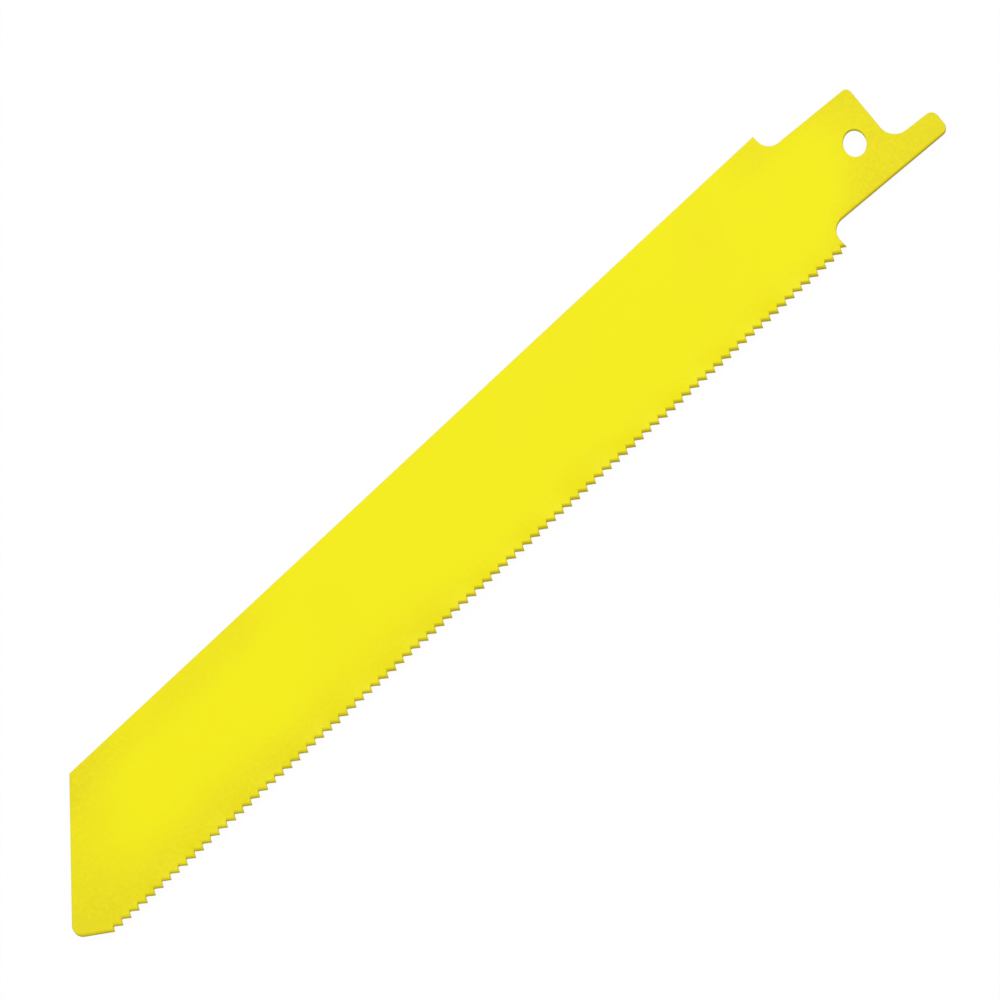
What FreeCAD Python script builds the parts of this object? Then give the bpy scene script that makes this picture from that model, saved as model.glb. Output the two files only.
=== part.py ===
import FreeCAD, Part
import math
import os

from FreeCAD import Vector

# Reciprocating saw blade: one stamped strip of thin steel with a wavy-set tooth edge and a canted tang.
# Millimetres. The origin is the centre of the tang hole, halfway through the steel.
# +X runs along the back edge to the nose, +Y to the teeth, +Z out of the face that shows.

# Overall sizes
overall_length = 152.5
body_width = 19.15
steel_thickness = 0.9

# Tang, which the saw's clamp grips
hole_diameter = 3.3
hole_to_back_edge = 9.75
hole_to_tang_end = 10.2
tang_width = 12.9
hole_to_tang_back = 6.4
tang_back_cant = 3.9
tang_tooth_cant = 3.2
hole_to_back_shoulder = 8.82
hole_to_tooth_shoulder = 10.13
shoulder_fillet = 1.95
tang_corner_round = 0.8

# Notch in the tang's end, and the finger that is left beside it
notch_cant = 5.0
hole_to_step = 3.86
hole_to_finger = 2.81
notch_fillet = 2.35
finger_round = 1.05

# Nose
nose_angle = 48.5
nose_round = 1.4
nose_round_from_tips = 3.5
nose_lead = 3.75

# Teeth, which point to the tang
tooth_pitch = 1.4
shoulder_to_first_tip = 1.0
relief_angle = 37.0
rake_face_angle = 65.0
gullet_round = 0.15

# Grinding the nose takes this much off the height of the tooth beside it
last_tip_drop = 0.15

# Wavy set: the strip that holds the teeth is pressed from side to side in a smooth wave
set_each_side = 0.2
set_depth = 3.4
teeth_per_wave = 6
teeth_per_fade = 6

# Stock that is left on the wavy strip past the tips, and on the cutting bodies past the steel
trim = 0.2

# Places that follow from the sizes
back_y = -hole_to_back_edge
tip_y = back_y + body_width
bend_y = tip_y - set_depth
nose_x = overall_length - hole_to_tang_end
first_tip_x = hole_to_tooth_shoulder + shoulder_to_first_tip
tooth_spans = int((nose_x - nose_lead - first_tip_x) / tooth_pitch)
last_tip_x = first_tip_x + tooth_spans * tooth_pitch
face_z = steel_thickness / 2

# Square directions in the blade's plane
to_nose = Vector(1, 0, 0)
to_teeth = Vector(0, 1, 0)


def heading(degrees):
    """A unit vector in the blade's plane, turned from +X towards +Y."""
    turn = math.radians(degrees)
    return Vector(math.cos(turn), math.sin(turn), 0)


def left_of(way):
    """The unit vector a quarter turn anticlockwise from way."""
    return Vector(-way.y, way.x, 0)


def meet(point, way, other_point, other_way):
    """Where two straight lines in the blade's plane cross."""
    gap = other_point - point
    reach = gap.dot(left_of(other_way)) / way.dot(left_of(other_way))
    return point + way * reach


def rounded_face(corners):
    """A flat face through (corner, radius) pairs, with an arc at each corner that has a radius."""
    bends = []
    for index, (corner, radius) in enumerate(corners):
        before = (corners[index - 1][0] - corner).normalize()
        after = (corners[(index + 1) % len(corners)][0] - corner).normalize()
        half_angle = before.getAngle(after) / 2
        reach = radius / math.tan(half_angle)
        inset = radius / math.sin(half_angle) - radius
        middle = corner + (before + after).normalize() * inset
        bends.append((corner + before * reach, middle, corner + after * reach))
    edges = []
    for index, (start, middle, end) in enumerate(bends):
        next_start = bends[(index + 1) % len(bends)][0]
        if corners[index][1] > 0:
            edges.append(Part.Arc(start, middle, end).toShape())
        edges.append(Part.LineSegment(end, next_start).toShape())
    return Part.Face(Part.Wire(edges))


def last_tip():
    """The tip of the tooth beside the nose, which lies lower than the others on its short flank."""
    rake = 1 / math.tan(math.radians(rake_face_angle))
    return Vector(last_tip_x - last_tip_drop * rake, tip_y - last_tip_drop, 0)


def nose_corners():
    """The sharp back corner, then the round one between the nose and the run to the last tip."""
    centre = Vector(nose_x - nose_round, tip_y - nose_round_from_tips, 0)
    nose_way = heading(nose_angle)
    nose_point = centre - left_of(nose_way) * nose_round
    to_centre = centre - last_tip()
    centre_turn = math.degrees(math.atan2(to_centre.y, to_centre.x))
    tangent_turn = math.degrees(math.asin(nose_round / to_centre.Length))
    run_way = heading(centre_turn + tangent_turn)
    return [
        (meet(nose_point, nose_way, Vector(0, back_y, 0), to_nose), 0),
        (meet(nose_point, nose_way, last_tip(), run_way), nose_round),
    ]


def tooth_corners():
    """Tips and gullets from the nose to the tooth-side shoulder, which cuts into one more tooth."""
    relief = 1 / math.tan(math.radians(relief_angle))
    rake = 1 / math.tan(math.radians(rake_face_angle))
    depth = tooth_pitch / (relief + rake)
    corners = []
    for index in reversed(range(tooth_spans + 1)):
        tip_x = first_tip_x + index * tooth_pitch
        gullet = Vector(tip_x - depth * rake, tip_y - depth, 0)
        corners.append((Vector(tip_x, tip_y, 0), 0))
        corners.append((gullet, gullet_round))
    corners[0] = (last_tip(), 0)
    flank_way = heading(180 - relief_angle)
    shoulder = Vector(hole_to_tooth_shoulder, tip_y, 0)
    corners.append((meet(gullet, flank_way, shoulder, to_teeth), 0))
    return corners


def tang_corners():
    """The tang, from the tooth-side shoulder round its end to the back shoulder."""
    back_way = heading(180 - tang_back_cant)
    tooth_way = heading(180 - tang_tooth_cant)
    finger_way = heading(180 - notch_cant)
    across = left_of(finger_way)
    back_side = left_of(back_way) * hole_to_tang_back
    tooth_side = left_of(tooth_way) * (hole_to_tang_back - tang_width)
    finger_side = across * -hole_to_finger
    step = finger_way * hole_to_step
    # The finger's upper round reaches the end of the blade, and its end is square to its side.
    reached = Vector(finger_round - hole_to_tang_end, 0, 0)
    round_centre = meet(finger_side - across * finger_round, finger_way, reached, to_teeth)
    finger_end = round_centre + finger_way * finger_round
    tooth_shoulder = Vector(hole_to_tooth_shoulder, tip_y, 0)
    back_shoulder = Vector(hole_to_back_shoulder, back_y, 0)
    return [
        (meet(tooth_side, tooth_way, tooth_shoulder, to_teeth), shoulder_fillet),
        (meet(tooth_side, tooth_way, finger_end, across), finger_round),
        (meet(finger_side, finger_way, finger_end, across), finger_round),
        (meet(finger_side, finger_way, step, across), notch_fillet),
        (meet(back_side, back_way, step, across), tang_corner_round),
        (meet(back_side, back_way, back_shoulder, to_teeth), shoulder_fillet),
        (back_shoulder, 0),
    ]


def stamping():
    """The flat outline of the whole blade, with the tang hole."""
    hole = Part.Face(Part.Wire(Part.makeCircle(hole_diameter / 2)))
    return rounded_face(nose_corners() + tooth_corners() + tang_corners()).cut(hole)


def fade(from_start, from_end):
    """Rises smoothly from 0 at the first and the last tip to 1 further in, places counted in teeth."""
    reach = min(1, from_start / teeth_per_fade, from_end / teeth_per_fade)
    return reach * reach * (3 - 2 * reach)


def wavy_strip():
    """The strip that holds the teeth, in a wave that grows as a parabola from its bend line."""
    along = 3
    knots = [0] * along + list(range(tooth_spans + 1)) + [tooth_spans] * along
    edge_y = tip_y + trim
    growth = ((edge_y - bend_y) / set_depth) ** 2
    # A cubic spline swings less than its poles do, by this share on a sine.
    share = (2 + math.cos(2 * math.pi / teeth_per_wave)) / 3
    swing = set_each_side * growth / share
    poles = []
    for index in range(tooth_spans + along):
        place = sum(knots[index + 1:index + 1 + along]) / along
        x = first_tip_x + place * tooth_pitch
        wave = math.cos(2 * math.pi * place / teeth_per_wave)
        height = swing * wave * fade(place, tooth_spans - place)
        # The first two rows of poles are level, so the wave leaves the flat steel with no kink.
        flat_rows = [Vector(x, bend_y, face_z), Vector(x, (bend_y + edge_y) / 2, face_z)]
        poles.append(flat_rows + [Vector(x, edge_y, face_z + height)])
    spans = list(range(tooth_spans + 1))
    repeats = [along + 1] + [1] * (tooth_spans - 1) + [along + 1]
    across = 2
    ends = [across + 1, across + 1]
    face = Part.BSplineSurface()
    face.buildFromPolesMultsKnots(poles, repeats, ends, spans, [0, 1], False, False, along, across)
    return face.toShape().extrude(Vector(0, 0, -steel_thickness))


def blade():
    """The flat steel with its toothed strip made wavy, both cut to the one outline."""
    outline = stamping()
    sheet = outline.extrude(Vector(0, 0, steel_thickness))
    sheet.translate(Vector(0, 0, -face_z))
    reach_z = face_z + set_each_side + trim
    cutter = outline.extrude(Vector(0, 0, 2 * reach_z))
    cutter.translate(Vector(0, 0, -reach_z))
    strip_corner = Vector(first_tip_x, bend_y, -reach_z)
    strip_room = Part.makeBox(last_tip_x - first_tip_x, set_depth + trim, 2 * reach_z, strip_corner)
    return sheet.cut(strip_room).fuse(wavy_strip().common(cutter))


os.makedirs("parts", exist_ok=True)
blade().exportStep("parts/blade.step")
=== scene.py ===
import math

import bmesh
import bpy
from mathutils import Matrix, Vector
from mathutils.geometry import delaunay_2d_cdt


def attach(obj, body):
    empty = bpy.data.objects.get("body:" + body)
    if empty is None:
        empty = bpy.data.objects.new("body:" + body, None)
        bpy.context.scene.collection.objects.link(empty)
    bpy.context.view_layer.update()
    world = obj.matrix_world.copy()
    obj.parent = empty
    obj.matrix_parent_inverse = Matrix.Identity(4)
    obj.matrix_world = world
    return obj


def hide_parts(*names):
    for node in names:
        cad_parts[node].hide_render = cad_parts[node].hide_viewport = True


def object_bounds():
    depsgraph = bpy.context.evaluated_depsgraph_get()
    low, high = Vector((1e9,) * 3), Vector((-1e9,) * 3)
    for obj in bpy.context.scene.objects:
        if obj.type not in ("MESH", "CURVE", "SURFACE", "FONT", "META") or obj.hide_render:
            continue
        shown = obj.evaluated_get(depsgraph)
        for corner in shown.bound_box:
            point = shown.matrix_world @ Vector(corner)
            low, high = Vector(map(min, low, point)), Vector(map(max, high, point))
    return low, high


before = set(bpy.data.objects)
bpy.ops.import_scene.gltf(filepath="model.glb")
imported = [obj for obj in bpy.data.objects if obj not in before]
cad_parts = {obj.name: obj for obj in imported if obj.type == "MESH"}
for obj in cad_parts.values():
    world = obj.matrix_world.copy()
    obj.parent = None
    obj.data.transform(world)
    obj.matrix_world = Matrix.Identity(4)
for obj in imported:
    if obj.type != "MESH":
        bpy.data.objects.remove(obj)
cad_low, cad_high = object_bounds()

# A painted reciprocating saw blade: one thin steel strip with a wavy-set tooth edge and a canted tang.
# Metres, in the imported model's frame: the origin is the centre of the tang hole, halfway through the
# steel, +X runs to the nose, +Y to the teeth and +Z out of the face that shows.

bl_info = {
    "name": "Reciprocating Saw Blade",
    "version": (1, 0, 0),
    "blender": (4, 5, 0),
    "location": "3D View > Sidebar > Saw Blade",
    "description": "Makes a painted reciprocating saw blade with a wavy-set tooth edge",
    "category": "Add Mesh",
}

MM = 0.001
BLADE = "blade"

# The photograph's frame, in pixels
PICTURE_WIDTH = 1000

# The attribute on the blade's mesh that its paint reads: the share of the edge's colour, 0 on the faces.
# It is partly paint drawn thin round the edges and partly painted shade on the walls and the teeth's
# long flanks.
EDGE_TONE = "edge_tone"

# Places of a colour mix's factor, two colours and result among its sockets
MIX_FACTOR = 0
MIX_A = 6
MIX_B = 7
MIX_RESULT = 2

# The triangulation's output that is the inside of the outlines, less their holes
INSIDE_WITH_HOLES = 2

# The mesh's fineness
GULLET_CHORDS = 4
FILLET_CHORDS = 14
HOLE_CHORDS = 72
ROUND_STEPS = 4
STRIP_ROWS = 5
FLANK_PARTS = 3

# A narrow flat row inside each round, the reach of the merge, and the triangulation's tolerance
SUPPORT = 0.05 * MM
MERGE = 0.001 * MM
SAME_POINT = 0.0001 * MM

# An edge where the surface turns by more than this stays sharp
SHARP = math.radians(42)

# A side is rolled over where the cosine of its turn from the long flanks is above this
ROLL_LIMIT = 0.68

# How much of the edge's colour the walls, the hole's wall and the rolled flanks show. On the walls it is
# partly paint drawn thin and partly painted shade; on the rolled long flanks, turned from the softbox,
# it is painted shade. The hole's wall gets less, and stays lighter.
WALL_TONE = 0.5
HOLE_TONE = 0.1
ROLL_TONE = 0.65

# Along the blade, where that tone gets weaker to the nose: (start, end, share of it that is lost)
NOSE_EDGES = (60 * MM, 130 * MM, 0.5)

# Bands where the yellow is made deeper: (start, end, share of the thin tone at the end). At the nose,
# the tang and both ends of the back edge they are painted shade, where the light on the blade is
# weaker; the others deepen it towards the tooth edge. The nose's band is measured from its slanted
# edge, the tang's on a slant, the others along or across the blade.
NOSE_FADE = (-10 * MM, 1 * MM, 0.55)
TANG_FADE = (5 * MM, -6 * MM, 0.8)
TANG_SLANT_START = -2 * MM
TEETH_FADE = (3.5 * MM, 8.5 * MM, 0.25)
FAR_TEETH_FADE = (0.0, 7 * MM, 0.38)
FAR_TEETH_ALONG = (60 * MM, 125 * MM, 1.0)
BACK_FADE = (-4 * MM, -8 * MM, 0.33)
BACK_NEAR_TANG = (17 * MM, 11 * MM, 1.0)
BACK_NEAR_NOSE = (92 * MM, 102 * MM, 1.0)

# The patterns in the film: their noise, how much they change its thinness, and how much the grain
# changes its shine and its skin
NOISE_DETAIL = 2.0
CLOUD_NOISE_ROUGHNESS = 0.5
GRAIN_NOISE_ROUGHNESS = 0.6
PATTERN_MIDDLE = 0.5
CLOUD_SHARE = 0.7
LEAST_GRAIN_SHARE = 0.06
GRAIN_SHARE = 1.6
GRAIN_ROUGHNESS = 0.12
SKIN_STRENGTH = 0.5
SKIN_HEIGHT = 0.01 * MM

# The enamel's shine, and how much duller the walls are
ENAMEL_IOR = 1.45
ENAMEL_SPECULAR = 0.21
WALL_ROUGHNESS = 0.5

# The stage: how far the floor is a lit board and not an even white, the light from all round, the
# floor's gap under the blade, and the softbox's place from the blade's middle, its width and its watts
WHITE = (1.0, 1.0, 1.0, 1.0)
SHADOW_SHARE = 0.04
ROOM_LIGHT = 0.7
FLOOR_GAP = 0.01 * MM
KEY_OFFSET = Vector((-0.95, -1.02, 1.6))
KEY_WIDTH = 1.4
KEY_POWER = 19.5

# The camera: the point it aims at, its focal length in pixels, and the distances it draws between
CAMERA_AIM = Vector((0.06488, 0.00241, 0.0))
LENS_PIXELS = 9379.8
NEAREST_SEEN = 0.01
FARTHEST_SEEN = 20.0


def linear(hex_colour):
    """An sRGB hex colour such as "#F4EC28" as linear red, green, blue and an alpha of 1."""
    values = [int(hex_colour[place:place + 2], 16) / 255 for place in (1, 3, 5)]
    return [v / 12.92 if v <= 0.04045 else ((v + 0.055) / 1.055) ** 2.4 for v in values] + [1.0]


def length(name, description, millimetres):
    """A size that is shown in the sidebar as a length."""
    return bpy.props.FloatProperty(
        name=name, description=description, default=millimetres * MM, min=0.0,
        unit="LENGTH", subtype="DISTANCE", precision=5)


def angle(name, description, degrees):
    """A size that is shown in the sidebar as an angle."""
    return bpy.props.FloatProperty(
        name=name, description=description, default=math.radians(degrees), subtype="ANGLE")


def colour(name, description, hex_colour):
    """A colour that is shown in the sidebar as a swatch."""
    return bpy.props.FloatVectorProperty(
        name=name, description=description, default=linear(hex_colour), size=4,
        subtype="COLOR", min=0.0, max=1.0)


class BladeSizes(bpy.types.PropertyGroup):
    """Sizes of the stamped and toothed steel."""

    overall_length: length("Overall length", "From the tang's end to the nose",
                           (cad_high.x - cad_low.x) / MM)
    hole_to_tang_end: length("Hole to tang end", "From the hole's centre to the tang's end",
                             -cad_low.x / MM)
    body_width: length("Body width", "From the back edge to the tooth tips",
                       (cad_high.y - cad_low.y) / MM)
    hole_to_back_edge: length("Hole to back edge", "From the hole's centre to the back edge",
                              -cad_low.y / MM)
    steel_thickness: length("Steel thickness", "Thickness of the flat steel", 0.9)
    hole_length: length("Hole length", "The pin's hole is slightly oval, and this is its long way", 3.65)
    hole_width: length("Hole width", "The pin's hole across its long way", 3.05)
    hole_turn: angle("Hole turn", "From the blade's length to the hole's long way", 58.0)
    edge_round: length("Edge round", "Radius that the paint gives every edge", 0.12)
    tang_width: length("Tang width", "Across the tang at the hole", 12.9)
    hole_to_tang_back: length("Hole to tang back", "From the hole to the tang's back edge", 6.4)
    tang_back_cant: angle("Tang back cant", "Slope of the tang's back edge", 3.9)
    tang_tooth_cant: angle("Tang tooth cant", "Slope of the tang's other edge", 3.2)
    hole_to_back_shoulder: length("Hole to back shoulder", "Along the blade", 8.82)
    hole_to_tooth_shoulder: length("Hole to tooth shoulder", "Along the blade", 10.13)
    shoulder_fillet: length("Shoulder fillet", "Inner radius where tang and body meet", 1.95)
    tang_corner_round: length("Tang corner round", "Radius of the tang's back corner", 0.8)
    notch_cant: angle("Notch cant", "Slope of the notch in the tang's end", 5.0)
    hole_to_step: length("Hole to step", "From the hole to the notch's step", 3.86)
    hole_to_finger: length("Hole to finger", "From the hole to the finger's near side", 2.81)
    notch_fillet: length("Notch fillet", "Inner radius of the notch", 2.35)
    finger_round: length("Finger round", "Radius of the finger's corners", 1.05)
    nose_angle: angle("Nose angle", "Slope of the nose from the blade's length", 48.5)
    nose_round: length("Nose round", "Radius at the nose's point", 1.4)
    nose_round_from_tips: length("Nose round from tips", "Its centre below the tip line", 3.5)
    nose_lead: length("Nose lead", "Least room between the last tip and the nose", 3.75)


class ToothSizes(bpy.types.PropertyGroup):
    """Sizes of the teeth and of their wavy set."""

    pitch: length("Tooth pitch", "From tip to tip, which is 18 teeth to the inch", 1.4)
    shoulder_to_first_tip: length("Shoulder to first tip", "Along the blade", 1.0)
    relief_angle: angle("Relief angle", "Slope of the long flank behind each tip", 37.0)
    rake_face_angle: angle("Rake face angle", "Slope of the short flank before each tip", 65.0)
    gullet_round: length("Gullet round", "Radius at the foot of the teeth", 0.15)
    flank_roll: length("Flank roll", "How much wider the front round is on the long flanks", 0.31)
    last_tip_drop: length("Last tip drop", "What grinding the nose takes off the tooth beside it", 0.15)
    set_each_side: length("Set each side", "How far the tips swing out of the blade's plane", 0.2)
    set_depth: length("Set depth", "From the bend line to the tips", 3.4)
    teeth_per_wave: bpy.props.FloatProperty(
        name="Teeth per wave", description="Teeth in one full swing of the set", default=6.0, min=2.0)
    teeth_per_fade: bpy.props.FloatProperty(
        name="Teeth per fade", description="Teeth over which the set rises from nothing",
        default=6.0, min=1.0)


class PaintLook(bpy.types.PropertyGroup):
    """Colours and grain of the enamel."""

    face: colour("Face", "Enamel where the film is full", "#F5ED00")
    # The thin film's colour is also the painted shade of the bands at the nose, the tang and the back
    # edge's ends.
    thin: colour("Thin film", "Enamel where the film is thinner", "#E8DA12")
    # Edge is also the colour of the painted shade on the walls and the teeth's long flanks.
    edge: colour("Edge", "Enamel that is drawn thin round an edge", "#D2BD20")
    cloud_width: length("Cloud width", "Size of the faint clouds in the film", 16.0)
    grain_width: length("Grain width", "Size of the spray's droplets after levelling", 0.55)
    roughness: bpy.props.FloatProperty(
        name="Roughness", description="Satin enamel", default=0.42, min=0.0, max=1.0,
        subtype="FACTOR")


class StageLook(bpy.types.PropertyGroup):
    """The floor, and where the camera stands."""

    floor_width: length("Floor width", "Side of the square floor", 6000.0)
    floor_colour: colour("Floor colour", "What the floor gives back to the object", "#8C8C8C")
    camera_distance: length("Camera distance", "From the lens to the blade", 1200.0)
    camera_roll: angle("Camera roll", "How far the blade is turned in the picture", 43.02)
    camera_tilt: angle("Camera tilt", "How far the lens leans to the teeth", 12.0)
    camera_lean: angle("Camera lean", "How far the lens leans to the nose", 5.0)


def heading(turn):
    """A unit vector in the blade's plane, turned from +X towards +Y."""
    return Vector((math.cos(turn), math.sin(turn)))


def left_of(way):
    """The unit vector a quarter turn anticlockwise from way."""
    return Vector((-way.y, way.x))


def meet(point, way, other_point, other_way):
    """Where two straight lines in the blade's plane cross."""
    gap = other_point - point
    reach = gap.dot(left_of(other_way)) / way.dot(left_of(other_way))
    return point + way * reach


def rounded_run(corners):
    """The points of an open run of (corner, radius, chords), with an arc at each corner that has a
    radius."""
    points = [corners[0][0]]
    for before, (corner, radius, chords), after in zip(corners, corners[1:], corners[2:]):
        if not radius:
            points.append(corner)
            continue
        way_in = (corner - before[0]).normalized()
        way_out = (after[0] - corner).normalized()
        turn = abs(way_in.angle_signed(way_out))
        side = left_of(way_in) if way_in.cross(way_out) > 0 else -left_of(way_in)
        start = corner - way_in * radius * math.tan(turn / 2)
        centre = start + side * radius
        for step in range(chords + 1):
            swept = turn * step / chords
            points.append(centre - side * radius * math.cos(swept) + way_in * radius * math.sin(swept))
    points.append(corners[-1][0])
    return points


def inset(chain, depth):
    """An open chain of points, less its two ends, moved to its left by depth with mitred corners."""
    moved = []
    for before, point, after in zip(chain, chain[1:], chain[2:]):
        way_in = (point - before).normalized()
        way_out = (after - point).normalized()
        mitre = (left_of(way_in) + left_of(way_out)) / (1 + way_in.dot(way_out))
        moved.append(point + mitre * depth)
    return moved


def roll_shares(chain, teeth):
    """For each point of a chain but its two ends, 1 beside a long flank, which is rolled over, and
    less beside a side that turns away from a flank's way, down to 0 at ROLL_LIMIT."""
    flank_way = heading(math.pi - teeth.relief_angle)
    shares = [max(0.0, (after - before).normalized().dot(flank_way) - ROLL_LIMIT) / (1 - ROLL_LIMIT)
              for before, after in zip(chain, chain[1:])]
    return [max(pair) for pair in zip(shares, shares[1:])]


def edge_rows(sizes, wall_tone):
    """(depth inwards, height, tone, part of a flank's roll, its tone) from the front face over the
    edge to the back one. The front round alone can be rolled."""
    half = sizes.steel_thickness / 2
    radius = sizes.edge_round
    rows = [(radius + SUPPORT, half, 0.0, 1.0, 0.0)]
    for step in range(ROUND_STEPS + 1):
        turn = math.pi / 2 * step / ROUND_STEPS
        inwards = 1 - math.sin(turn)
        # The tone holds painted shade as well as paint drawn thin; the roll's tone is painted shade.
        rows.append((radius * inwards, half - radius * (1 - math.cos(turn)),
                     wall_tone * math.sin(turn), inwards, ROLL_TONE * math.sin(2 * turn)))
    return rows + [(depth, -height, tone, 0.0, 0.0) for depth, height, tone, _, _ in reversed(rows)]


class Layout:
    """Points of the blade's outline that both its sheet and its teeth are made from."""

    def __init__(self, sizes, teeth):
        self.back_y = -sizes.hole_to_back_edge
        self.tip_y = self.back_y + sizes.body_width
        self.bend_y = self.tip_y - teeth.set_depth
        self.nose_x = sizes.overall_length - sizes.hole_to_tang_end
        self.first_tip_x = sizes.hole_to_tooth_shoulder + teeth.shoulder_to_first_tip
        room = self.nose_x - sizes.nose_lead - self.first_tip_x
        self.spans = int(room / teeth.pitch)
        self.last_tip_x = self.first_tip_x + self.spans * teeth.pitch
        relief = 1 / math.tan(teeth.relief_angle)
        rake = 1 / math.tan(teeth.rake_face_angle)
        self.tooth_depth = teeth.pitch / (relief + rake)
        self.gullet_lead = self.tooth_depth * rake
        self.gullet_round = teeth.gullet_round
        self.last_tip = Vector((self.last_tip_x - teeth.last_tip_drop * rake,
                                self.tip_y - teeth.last_tip_drop))
        self.nose_centre = Vector((self.nose_x - sizes.nose_round,
                                   self.tip_y - sizes.nose_round_from_tips))
        self.nose_way = heading(sizes.nose_angle)
        self.nose_point = self.nose_centre - left_of(self.nose_way) * sizes.nose_round

    def tip(self, x):
        """The tip at x, as a corner."""
        return Vector((x, self.tip_y)), 0.0, 0

    def gullet(self, tip_x):
        """The gullet on the tang side of the tip at tip_x, as a corner."""
        return (Vector((tip_x - self.gullet_lead, self.tip_y - self.tooth_depth)),
                self.gullet_round, GULLET_CHORDS)


def tooth_chain(layout, teeth):
    """One tooth at x = 0 from the gullet on its nose side to the one on its tang side, with one
    point more at each end."""
    corners = [
        layout.tip(teeth.pitch),
        layout.gullet(teeth.pitch),
        layout.tip(0.0),
        layout.gullet(0.0),
        layout.tip(-teeth.pitch),
    ]
    points = rounded_run(corners)
    flank_start = GULLET_CHORDS + 1
    flank = [points[flank_start].lerp(points[flank_start + 1], part / FLANK_PARTS)
             for part in range(1, FLANK_PARTS)]
    middle = GULLET_CHORDS // 2
    return points[middle:flank_start + 1] + flank + points[flank_start + 1:-middle]


def body_chain(sizes, layout, teeth):
    """The outline from the first gullet round the tang, the back edge and the nose to the last
    gullet, with one point more at each end."""
    tang_back_way = heading(math.pi - sizes.tang_back_cant)
    tang_tooth_way = heading(math.pi - sizes.tang_tooth_cant)
    finger_way = heading(math.pi - sizes.notch_cant)
    across = left_of(finger_way)
    upright = Vector((0, 1))
    level = Vector((1, 0))
    tang_back = left_of(tang_back_way) * sizes.hole_to_tang_back
    tang_tooth = left_of(tang_tooth_way) * (sizes.hole_to_tang_back - sizes.tang_width)
    finger_side = across * -sizes.hole_to_finger
    step = finger_way * sizes.hole_to_step
    reached = Vector((sizes.finger_round - sizes.hole_to_tang_end, 0))
    round_centre = meet(finger_side - across * sizes.finger_round, finger_way, reached, upright)
    finger_end = round_centre + finger_way * sizes.finger_round
    tooth_shoulder = Vector((sizes.hole_to_tooth_shoulder, layout.tip_y))
    back_shoulder = Vector((sizes.hole_to_back_shoulder, layout.back_y))
    to_centre = layout.nose_centre - layout.last_tip
    run_way = heading(math.atan2(to_centre.y, to_centre.x)
                      + math.asin(sizes.nose_round / to_centre.length))
    first_gullet = layout.gullet(layout.first_tip_x)
    relief_way = heading(math.pi - teeth.relief_angle)
    fillet = (sizes.shoulder_fillet, FILLET_CHORDS)
    finger = (sizes.finger_round, FILLET_CHORDS)
    corners = [
        layout.tip(layout.first_tip_x),
        first_gullet,
        (meet(first_gullet[0], relief_way, tooth_shoulder, upright), 0.0, 0),
        (meet(tang_tooth, tang_tooth_way, tooth_shoulder, upright), *fillet),
        (meet(tang_tooth, tang_tooth_way, finger_end, across), *finger),
        (meet(finger_side, finger_way, finger_end, across), *finger),
        (meet(finger_side, finger_way, step, across), sizes.notch_fillet, FILLET_CHORDS),
        (meet(tang_back, tang_back_way, step, across), sizes.tang_corner_round, FILLET_CHORDS),
        (meet(tang_back, tang_back_way, back_shoulder, upright), *fillet),
        (back_shoulder, 0.0, 0),
        (meet(layout.nose_point, layout.nose_way, back_shoulder, level), 0.0, 0),
        (meet(layout.nose_point, layout.nose_way, layout.last_tip, run_way), sizes.nose_round,
         FILLET_CHORDS),
        (layout.last_tip, 0.0, 0),
        layout.gullet(layout.last_tip_x),
        layout.tip(layout.last_tip_x - teeth.pitch),
    ]
    points = rounded_run(corners)
    middle = GULLET_CHORDS // 2
    return points[middle:-middle]


def add_edge(bm, tone_layer, chain, rows, roll, shares, closed=False):
    """Adds the wall and its two rounds along a chain, row by row as edge_rows gives them. A point's
    share of the roll moves its front round inwards and deepens its tone, a painted shade. Gives back
    the front run and the back one."""
    runs = []
    for depth, height, tone, part, roll_tone in rows:
        run = []
        for point, share in zip(inset(chain, depth), shares):
            vertex = bm.verts.new((point.x, point.y - roll * part * share, height))
            # Painted shade on the walls and the rolled flanks, with paint drawn thin round the edges
            vertex[tone_layer] = tone + roll_tone * share
            run.append(vertex)
        runs.append(run)
    for run, next_run in zip(runs, runs[1:]):
        pairs = list(zip(run, next_run))
        if closed:
            pairs.append(pairs[0])
        for (a, b), (c, d) in zip(pairs, pairs[1:]):
            bm.faces.new((a, c, d, b))
    return runs[0], runs[-1]


def column(bm, foot_y, vertex):
    """Vertices in a straight line from the given one, on a tooth's rim, down to foot_y."""
    made = [vertex]
    for row in range(1, STRIP_ROWS + 1):
        y = vertex.co.y + (foot_y - vertex.co.y) * row / STRIP_ROWS
        made.append(bm.verts.new((vertex.co.x, y, vertex.co.z)))
    return made


def tooth_mesh(sizes, layout, teeth):
    """One tooth with the strip between it and the bend line, open towards its neighbours."""
    bm = bmesh.new()
    tone_layer = bm.verts.layers.float.new(EDGE_TONE)
    chain = tooth_chain(layout, teeth)
    shares = roll_shares(chain, teeth)
    rows = edge_rows(sizes, WALL_TONE)
    for run in add_edge(bm, tone_layer, chain, rows, teeth.flank_roll, shares):
        columns = [column(bm, layout.bend_y, vertex) for vertex in run]
        for near, far in zip(columns, columns[1:]):
            for (a, b), (c, d) in zip(zip(near, near[1:]), zip(far, far[1:])):
                bm.faces.new((a, b, d, c))
    mesh = bpy.data.meshes.new("one_tooth")
    bm.to_mesh(mesh)
    bm.free()
    return mesh


def hole_chain(sizes):
    """The hole's outline, run clockwise so that its left is the steel, closed on itself."""
    long_way = heading(sizes.hole_turn)
    points = []
    for step in range(-1, HOLE_CHORDS + 1):
        round_way = heading(-math.tau * step / HOLE_CHORDS)
        points.append(long_way * round_way.x * sizes.hole_length / 2
                      + left_of(long_way) * round_way.y * sizes.hole_width / 2)
    return points


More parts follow.
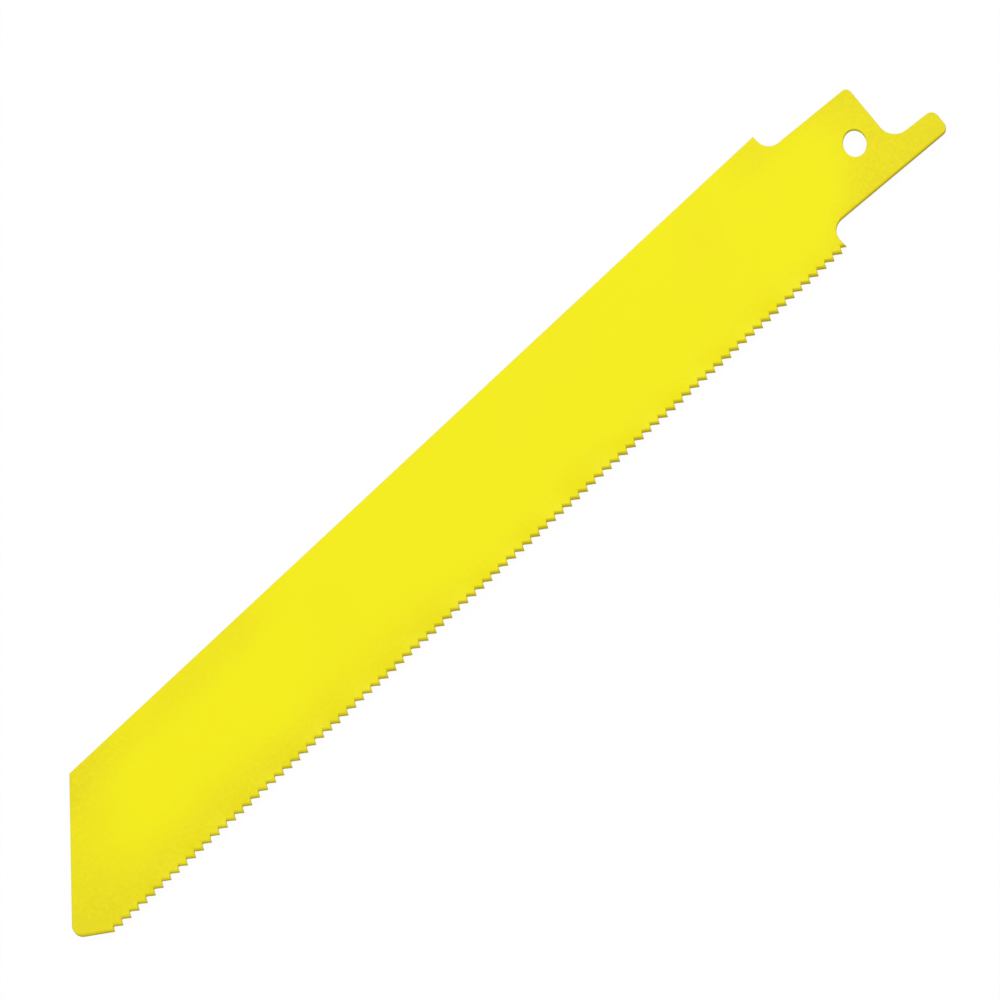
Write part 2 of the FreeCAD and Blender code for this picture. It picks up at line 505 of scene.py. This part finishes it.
def seam(layout, teeth, sizes, last, first):
    """Points of the strip's border, where the sheet and the teeth are joined: from last, the sheet's
    place at the last gullet, down, along the bend line and up to first, its place at the first one."""
    steps = [row / STRIP_ROWS for row in range(1, STRIP_ROWS)]
    border = [Vector((last.x, last.y + (layout.bend_y - last.y) * step)) for step in steps]
    run = inset(tooth_chain(layout, teeth), sizes.edge_round + SUPPORT)
    for index in reversed(range(layout.spans)):
        shift = layout.first_tip_x + index * teeth.pitch
        border += [Vector((point.x + shift, layout.bend_y)) for point in run[:-1]]
    border.append(Vector((first.x, layout.bend_y)))
    border += [Vector((first.x, first.y + (layout.bend_y - first.y) * step))
               for step in reversed(steps)]
    return border


def sheet_mesh(sizes, layout, teeth):
    """The flat steel without its tooth strip: both faces, the walls with their rounds, and the hole."""
    bm = bmesh.new()
    tone_layer = bm.verts.layers.float.new(EDGE_TONE)
    chain = body_chain(sizes, layout, teeth)
    outline = add_edge(bm, tone_layer, chain, edge_rows(sizes, WALL_TONE), teeth.flank_roll,
                       roll_shares(chain, teeth))
    unrolled = [0.0] * HOLE_CHORDS
    hole = add_edge(bm, tone_layer, hole_chain(sizes), edge_rows(sizes, HOLE_TONE), 0.0, unrolled,
                    closed=True)
    for outer_run, hole_run in zip(outline, hole):
        first = outer_run[0].co
        border = seam(layout, teeth, sizes, outer_run[-1].co, first)
        border_run = [bm.verts.new((point.x, point.y, first.z)) for point in border]
        vertices = outer_run + border_run + hole_run
        hole_start = len(vertices) - len(hole_run)
        loops = [list(range(hole_start)), list(range(hole_start, len(vertices)))]
        flat = [vertex.co.xy for vertex in vertices]
        _, _, faces, origins, _, _ = delaunay_2d_cdt(flat, [], loops, INSIDE_WITH_HOLES, SAME_POINT)
        for face in faces:
            bm.faces.new([vertices[origins[index][0]] for index in face])
    mesh = bpy.data.meshes.new(BLADE)
    bm.to_mesh(mesh)
    bm.free()
    return mesh


def add_node(tree, kind, inputs=None, **settings):
    """Adds a node with its settings. inputs gives each input's value, the output that feeds it, or
    the node whose first output does."""
    node = tree.nodes.new(kind)
    for name, value in settings.items():
        setattr(node, name, value)
    for key, value in (inputs or {}).items():
        if isinstance(value, bpy.types.Node):
            value = value.outputs[0]
        if isinstance(value, bpy.types.NodeSocket):
            tree.links.new(value, node.inputs[key])
        else:
            node.inputs[key].default_value = value
    return node


def tooth_edge_tree():
    """Repeats one tooth along the edge, joins the row to the sheet and swings it in the wavy set."""
    tree = bpy.data.node_groups.new("tooth_edge", "GeometryNodeTree")
    kinds = [
        ("Sheet", "NodeSocketGeometry"),
        ("One Tooth", "NodeSocketObject"),
        ("Teeth", "NodeSocketInt"),
        ("Pitch", "NodeSocketFloat"),
        ("First Tip", "NodeSocketFloat"),
        ("Bend Line", "NodeSocketFloat"),
        ("Set Depth", "NodeSocketFloat"),
        ("Set Each Side", "NodeSocketFloat"),
        ("Teeth per Wave", "NodeSocketFloat"),
        ("Teeth per Fade", "NodeSocketFloat"),
        ("Join Distance", "NodeSocketFloat"),
        ("Paint", "NodeSocketMaterial"),
    ]
    for name, kind in kinds:
        tree.interface.new_socket(name=name, in_out="INPUT", socket_type=kind)
    tree.interface.new_socket(name="Blade", in_out="OUTPUT", socket_type="NodeSocketGeometry")
    given = add_node(tree, "NodeGroupInput").outputs

    start = add_node(tree, "ShaderNodeCombineXYZ", {"X": given["First Tip"]})
    step = add_node(tree, "ShaderNodeCombineXYZ", {"X": given["Pitch"]})
    line = add_node(tree, "GeometryNodeMeshLine",
                    {"Count": given["Teeth"], "Start Location": start, "Offset": step},
                    mode="OFFSET")
    tooth = add_node(tree, "GeometryNodeObjectInfo", {"Object": given["One Tooth"]})
    row = add_node(tree, "GeometryNodeInstanceOnPoints",
                   {"Points": line, "Instance": tooth.outputs["Geometry"]})
    whole = add_node(tree, "GeometryNodeJoinGeometry", {0: row})
    tree.links.new(given["Sheet"], whole.inputs[0])
    plain = add_node(tree, "GeometryNodeRealizeInstances", {"Geometry": whole})
    joined = add_node(tree, "GeometryNodeMergeByDistance",
                      {"Geometry": plain, "Distance": given["Join Distance"]})

    # The wave, which fades in over the first teeth and out over the last
    position = add_node(tree, "GeometryNodeInputPosition")
    place = add_node(tree, "ShaderNodeSeparateXYZ", {0: position}).outputs
    past_first = add_node(tree, "ShaderNodeMath", {0: place["X"], 1: given["First Tip"]},
                          operation="SUBTRACT")
    teeth_in = add_node(tree, "ShaderNodeMath", {0: past_first, 1: given["Pitch"]},
                        operation="DIVIDE")
    teeth_left = add_node(tree, "ShaderNodeMath", {0: given["Teeth"], 1: teeth_in},
                          operation="SUBTRACT")
    nearer = add_node(tree, "ShaderNodeMath", {0: teeth_in, 1: teeth_left}, operation="MINIMUM")
    fade = add_node(tree, "ShaderNodeMapRange",
                    {"Value": nearer, "From Max": given["Teeth per Fade"]},
                    interpolation_type="SMOOTHSTEP")
    swept = add_node(tree, "ShaderNodeMath", {0: teeth_in, 1: math.tau}, operation="MULTIPLY")
    turn = add_node(tree, "ShaderNodeMath", {0: swept, 1: given["Teeth per Wave"]},
                    operation="DIVIDE")
    wave = add_node(tree, "ShaderNodeMath", {0: turn}, operation="COSINE")
    faded = add_node(tree, "ShaderNodeMath", {0: wave, 1: fade}, operation="MULTIPLY")

    # Its height, which grows with the square of the way from the bend line
    past_bend = add_node(tree, "ShaderNodeMath", {0: place["Y"], 1: given["Bend Line"]},
                         operation="SUBTRACT")
    above = add_node(tree, "ShaderNodeMath", {0: past_bend, 1: 0.0}, operation="MAXIMUM")
    share = add_node(tree, "ShaderNodeMath", {0: above, 1: given["Set Depth"]},
                     operation="DIVIDE")
    growth = add_node(tree, "ShaderNodeMath", {0: share, 1: 2.0}, operation="POWER")
    height = add_node(tree, "ShaderNodeMath", {0: growth, 1: given["Set Each Side"]},
                      operation="MULTIPLY")

    swing = add_node(tree, "ShaderNodeMath", {0: height, 1: faded}, operation="MULTIPLY")
    lift = add_node(tree, "ShaderNodeCombineXYZ", {"Z": swing})
    waved = add_node(tree, "GeometryNodeSetPosition", {"Geometry": joined, "Offset": lift})
    painted = add_node(tree, "GeometryNodeSetMaterial",
                       {"Geometry": waved, "Material": given["Paint"]})
    add_node(tree, "NodeGroupOutput", {"Blade": painted})
    return tree


def run_tree(piece, tree, values):
    """Runs a Geometry Nodes tree with these inputs on the object, and keeps its result as the mesh."""
    modifier = piece.modifiers.new(tree.name, "NODES")
    modifier.node_group = tree
    for item in tree.interface.items_tree:
        if item.in_out == "INPUT" and item.name in values:
            modifier[item.identifier] = values[item.name]
    bpy.context.view_layer.update()
    evaluated = piece.evaluated_get(bpy.context.evaluated_depsgraph_get())
    mesh = bpy.data.meshes.new_from_object(evaluated)
    piece.modifiers.remove(modifier)
    piece.data = mesh


def finish_mesh(mesh):
    """Turns the faces outwards, makes the rounds smooth, and stops if the mesh isn't closed."""
    bm = bmesh.new()
    bm.from_mesh(mesh)
    bmesh.ops.recalc_face_normals(bm, faces=bm.faces)
    bm.to_mesh(mesh)
    mesh.shade_smooth()
    mesh.set_sharp_from_angle(angle=SHARP)
    loose = sum(1 for edge in bm.edges if len(edge.link_faces) != 2)
    volume = bm.calc_volume(signed=True)
    bm.free()
    print(f"blade: {len(mesh.polygons)} faces, {loose} open edges, {volume / MM ** 3:.1f} cubic mm")
    if loose or volume <= 0:
        raise RuntimeError("the blade's mesh isn't closed, or it is inside out")


def darker_bands(tree, along, across, layout):
    """0 in the blade's middle, and more where its yellow is made deeper: painted shade at the nose,
    the tang and both ends of the back edge, where the light on the blade is weaker, and a deeper tone
    towards the tooth edge."""
    slant = layout.nose_way
    reach = layout.nose_point.dot(-left_of(slant))
    nose_line = add_node(tree, "ShaderNodeMath", {0: across, 1: slant.x, 2: reach},
                         operation="MULTIPLY_ADD")
    nose_place = add_node(tree, "ShaderNodeMath", {0: along, 1: slant.y}, operation="MULTIPLY")
    past_nose = add_node(tree, "ShaderNodeMath", {0: nose_place, 1: nose_line},
                         operation="SUBTRACT")
    past_start = add_node(tree, "ShaderNodeMath", {0: across, 1: TANG_SLANT_START},
                          operation="SUBTRACT")
    to_teeth = add_node(tree, "ShaderNodeMath", {0: past_start, 1: 0.0}, operation="MAXIMUM")
    past_slant = add_node(tree, "ShaderNodeMath", {0: along, 1: to_teeth}, operation="SUBTRACT")
    bands = [
        (past_nose, NOSE_FADE),
        (past_slant, TANG_FADE),
        (across, TEETH_FADE),
        (across, FAR_TEETH_FADE),
        (along, FAR_TEETH_ALONG),
        (across, BACK_FADE),
        (along, BACK_NEAR_TANG),
        (along, BACK_NEAR_NOSE),
    ]
    nose, tang, teeth, far_teeth, far_along, back, near_tang, near_nose = [
        add_node(tree, "ShaderNodeMapRange",
                 {"Value": place, "From Min": start, "From Max": end, "To Max": share},
                 interpolation_type="SMOOTHSTEP")
        for place, (start, end, share) in bands]
    far_part = add_node(tree, "ShaderNodeMath", {0: far_teeth, 1: far_along},
                        operation="MULTIPLY")
    back_ends = add_node(tree, "ShaderNodeMath", {0: near_tang, 1: near_nose}, operation="ADD")
    back_part = add_node(tree, "ShaderNodeMath", {0: back, 1: back_ends}, operation="MULTIPLY")
    darkening = nose
    for part in (tang, teeth, far_part, back_part):
        darkening = add_node(tree, "ShaderNodeMath", {0: darkening, 1: part}, operation="ADD")
    return darkening


def satin_enamel(look, layout):
    """Yellow alkyd enamel, sprayed on bare steel and stoved.

    It gives an opaque, even yellow with a satin shine: a broad, faint reflection with no sharp image,
    a film that levelled to a fine skin, faint clouds where it is thicker or thinner, and a deeper
    tone where it was drawn thin round the edges. Its colour also holds painted shade: a deeper yellow
    at the nose, the tang and the back edge's ends, where the light on the blade is weaker, and on the
    walls and the teeth's long flanks, which are turned from the softbox."""
    material = bpy.data.materials.new("satin_yellow_enamel_on_steel")
    material.use_nodes = True
    tree = material.node_tree
    tree.nodes.clear()
    place = add_node(tree, "ShaderNodeTexCoord").outputs["Object"]
    along, across, _ = add_node(tree, "ShaderNodeSeparateXYZ", {0: place}).outputs
    clouds = add_node(tree, "ShaderNodeTexNoise",
                      {"Vector": place, "Scale": 1 / look.cloud_width, "Detail": NOISE_DETAIL,
                       "Roughness": CLOUD_NOISE_ROUGHNESS})
    grain = add_node(tree, "ShaderNodeTexNoise",
                     {"Vector": place, "Scale": 1 / look.grain_width, "Detail": NOISE_DETAIL,
                      "Roughness": GRAIN_NOISE_ROUGHNESS})
    darkening = darker_bands(tree, along, across, layout)
    grain_share = add_node(tree, "ShaderNodeMath",
                           {0: darkening, 1: GRAIN_SHARE, 2: LEAST_GRAIN_SHARE},
                           operation="MULTIPLY_ADD")
    for pattern, share in ((clouds, CLOUD_SHARE), (grain, grain_share)):
        swing = add_node(tree, "ShaderNodeMath", {0: pattern, 1: PATTERN_MIDDLE},
                         operation="SUBTRACT")
        darkening = add_node(tree, "ShaderNodeMath", {0: swing, 1: share, 2: darkening},
                            operation="MULTIPLY_ADD")
    film = add_node(tree, "ShaderNodeMix",
                    {MIX_FACTOR: darkening, MIX_A: look.face, MIX_B: look.thin},
                    data_type="RGBA").outputs[MIX_RESULT]

    # Round an edge the film was drawn thin, and the wall caught only dry, matt spray. The edge's colour
    # there is also painted shade, most on the teeth's long flanks, and less of it to the nose.
    edge = add_node(tree, "ShaderNodeAttribute", attribute_name=EDGE_TONE).outputs["Fac"]
    start, end, most_lost = NOSE_EDGES
    lost = add_node(tree, "ShaderNodeMapRange",
                    {"Value": along, "From Min": start, "From Max": end, "To Max": most_lost},
                    interpolation_type="SMOOTHSTEP")
    kept = add_node(tree, "ShaderNodeMath", {0: 1.0, 1: lost}, operation="SUBTRACT")
    wall = add_node(tree, "ShaderNodeMath", {0: edge, 1: kept}, operation="MULTIPLY")
    painted = add_node(tree, "ShaderNodeMix", {MIX_FACTOR: wall, MIX_A: film, MIX_B: look.edge},
                       data_type="RGBA").outputs[MIX_RESULT]
    least_rough = look.roughness - GRAIN_ROUGHNESS * PATTERN_MIDDLE
    satin = add_node(tree, "ShaderNodeMath", {0: grain, 1: GRAIN_ROUGHNESS, 2: least_rough},
                     operation="MULTIPLY_ADD")
    rough = add_node(tree, "ShaderNodeMath", {0: wall, 1: WALL_ROUGHNESS, 2: satin},
                     operation="MULTIPLY_ADD", use_clamp=True)
    skin = add_node(tree, "ShaderNodeBump",
                    {"Strength": SKIN_STRENGTH, "Distance": SKIN_HEIGHT, "Height": grain})
    shader = add_node(tree, "ShaderNodeBsdfPrincipled",
                      {"Base Color": painted, "Roughness": rough, "IOR": ENAMEL_IOR,
                       "Specular IOR Level": ENAMEL_SPECULAR, "Normal": skin})
    add_node(tree, "ShaderNodeOutputMaterial", {"Surface": shader})
    return material


def studio_floor(look):
    """White studio board: even and matt, so it shows white and keeps only a soft shadow."""
    material = bpy.data.materials.new("white_studio_board")
    material.use_nodes = True
    tree = material.node_tree
    tree.nodes.clear()
    path = add_node(tree, "ShaderNodeLightPath").outputs
    glow = add_node(tree, "ShaderNodeEmission", {"Color": WHITE, "Strength": 1.0})
    board = add_node(tree, "ShaderNodeBsdfDiffuse", {"Color": WHITE})
    grey = add_node(tree, "ShaderNodeBsdfDiffuse", {"Color": look.floor_colour})
    reflected = add_node(tree, "ShaderNodeMath",
                         {0: path["Is Glossy Ray"], 1: path["Is Transmission Ray"]},
                         operation="MAXIMUM")
    bounced = add_node(tree, "ShaderNodeMixShader", {0: reflected, 1: grey, 2: board})
    shown = add_node(tree, "ShaderNodeMixShader", {0: SHADOW_SHARE, 1: glow, 2: board})
    surface = add_node(tree, "ShaderNodeMixShader",
                       {0: path["Is Camera Ray"], 1: bounced, 2: shown})
    add_node(tree, "ShaderNodeOutputMaterial", {"Surface": surface})
    return material


def studio_world():
    """A white room to look at, and an even soft light from all round."""
    world = bpy.data.worlds.new("white_room")
    world.use_nodes = True
    tree = world.node_tree
    tree.nodes.clear()
    path = add_node(tree, "ShaderNodeLightPath").outputs
    shown = add_node(tree, "ShaderNodeBackground", {"Color": WHITE, "Strength": 1.0})
    lit = add_node(tree, "ShaderNodeBackground", {"Color": WHITE, "Strength": ROOM_LIGHT})
    reflected = add_node(tree, "ShaderNodeMath",
                         {0: path["Is Glossy Ray"], 1: path["Is Transmission Ray"]},
                         operation="MAXIMUM")
    seen = add_node(tree, "ShaderNodeMath", {0: path["Is Camera Ray"], 1: reflected},
                    operation="MAXIMUM")
    surface = add_node(tree, "ShaderNodeMixShader", {0: seen, 1: lit, 2: shown})
    add_node(tree, "ShaderNodeOutputWorld", {"Surface": surface})
    bpy.context.scene.world = world


def add_softbox(name, place, aim, width, power):
    """A square softbox at place, turned to aim."""
    light = bpy.data.lights.new(name, "AREA")
    light.shape = "SQUARE"
    light.size = width
    light.energy = power
    lamp = bpy.data.objects.new(name, light)
    lamp.location = place
    lamp.rotation_euler = (aim - place).to_track_quat("-Z", "Y").to_euler()
    bpy.context.scene.collection.objects.link(lamp)


def add_camera(look):
    """The camera over the blade's face, leaned and rolled as in the photograph."""
    back = Vector((math.tan(look.camera_lean), math.tan(look.camera_tilt), 1)).normalized()
    level = Vector((-1, 0, 0))
    level = (level - back * level.dot(back)).normalized()
    upright = back.cross(level)
    turn = look.camera_roll
    right = level * math.cos(turn) - upright * math.sin(turn)
    up = level * math.sin(turn) + upright * math.cos(turn)
    camera = bpy.data.cameras.new("camera")
    camera.lens = LENS_PIXELS / PICTURE_WIDTH * camera.sensor_width
    camera.clip_start = NEAREST_SEEN
    camera.clip_end = FARTHEST_SEEN
    holder = bpy.data.objects.new("camera", camera)
    turned = Matrix((right, up, back)).transposed().to_4x4()
    holder.matrix_world = Matrix.Translation(CAMERA_AIM + back * look.camera_distance) @ turned
    bpy.context.scene.collection.objects.link(holder)
    bpy.context.scene.camera = holder


class SAW_OT_blade(bpy.types.Operator):
    """Makes the painted blade and puts it in the place of the plain one"""

    bl_idname = "saw.blade"
    bl_label = "Make Blade"

    def execute(self, context):
        scene = context.scene
        sizes = scene.blade_sizes
        teeth = scene.tooth_sizes
        layout = Layout(sizes, teeth)
        piece = bpy.data.objects.new("painted_blade", sheet_mesh(sizes, layout, teeth))
        scene.collection.objects.link(piece)
        tooth = bpy.data.objects.new("one_tooth", tooth_mesh(sizes, layout, teeth))
        scene.collection.objects.link(tooth)
        values = {
            "One Tooth": tooth,
            "Teeth": layout.spans,
            "Pitch": teeth.pitch,
            "First Tip": layout.first_tip_x,
            "Bend Line": layout.bend_y,
            "Set Depth": teeth.set_depth,
            "Set Each Side": teeth.set_each_side,
            "Teeth per Wave": teeth.teeth_per_wave,
            "Teeth per Fade": teeth.teeth_per_fade,
            "Join Distance": MERGE,
            "Paint": satin_enamel(scene.paint_look, layout),
        }
        run_tree(piece, tooth_edge_tree(), values)
        bpy.data.objects.remove(tooth)
        finish_mesh(piece.data)
        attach(piece, "root")
        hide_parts(BLADE)
        return {"FINISHED"}


class SAW_OT_stage(bpy.types.Operator):
    """Makes the white floor, the room's light, the softbox and the camera"""

    bl_idname = "saw.stage"
    bl_label = "Make Stage"

    def execute(self, context):
        look = context.scene.stage_look
        half = look.floor_width / 2
        floor_z = cad_low.z - FLOOR_GAP
        square = ((-half, -half), (half, -half), (half, half), (-half, half))
        corners = [(x, y, floor_z) for x, y in square]
        mesh = bpy.data.meshes.new("floor")
        mesh.from_pydata(corners, [], [(0, 1, 2, 3)])
        mesh.materials.append(studio_floor(look))
        floor = bpy.data.objects.new("floor", mesh)
        context.scene.collection.objects.link(floor)
        studio_world()
        middle = (cad_low + cad_high) / 2
        add_softbox("key_softbox", middle + KEY_OFFSET, middle, KEY_WIDTH, KEY_POWER)
        add_camera(look)
        return {"FINISHED"}


class SAW_PT_panel(bpy.types.Panel):
    """The blade's sizes, paint and stage, with the buttons that make them"""

    bl_idname = "SAW_PT_panel"
    bl_label = "Saw Blade"
    bl_space_type = "VIEW_3D"
    bl_region_type = "UI"
    bl_category = "Saw Blade"

    def draw(self, context):
        for group, button in PANEL_ROWS:
            box = self.layout.box()
            values = getattr(context.scene, group)
            for name in values.bl_rna.properties.keys():
                if name not in ("rna_type", "name"):
                    box.prop(values, name)
            if button:
                box.operator(button)


GROUPS = {
    "blade_sizes": BladeSizes,
    "tooth_sizes": ToothSizes,
    "paint_look": PaintLook,
    "stage_look": StageLook,
}
PANEL_ROWS = [
    ("blade_sizes", None),
    ("tooth_sizes", None),
    ("paint_look", SAW_OT_blade.bl_idname),
    ("stage_look", SAW_OT_stage.bl_idname),
]
CLASSES = [*GROUPS.values(), SAW_OT_blade, SAW_OT_stage, SAW_PT_panel]


def register():
    """Adds the classes, and the groups of sizes and looks to the scene."""
    for kind in CLASSES:
        bpy.utils.register_class(kind)
    for name, kind in GROUPS.items():
        setattr(bpy.types.Scene, name, bpy.props.PointerProperty(type=kind))


def unregister():
    """Takes the groups and the classes away again."""
    for name in GROUPS:
        delattr(bpy.types.Scene, name)
    for kind in reversed(CLASSES):
        bpy.utils.unregister_class(kind)


def main():
    """Makes the blade and its stage."""
    register()
    bpy.ops.saw.blade()
    bpy.ops.saw.stage()
    bpy.context.scene.view_settings.view_transform = "Standard"


if __name__ == "__main__":
    main()
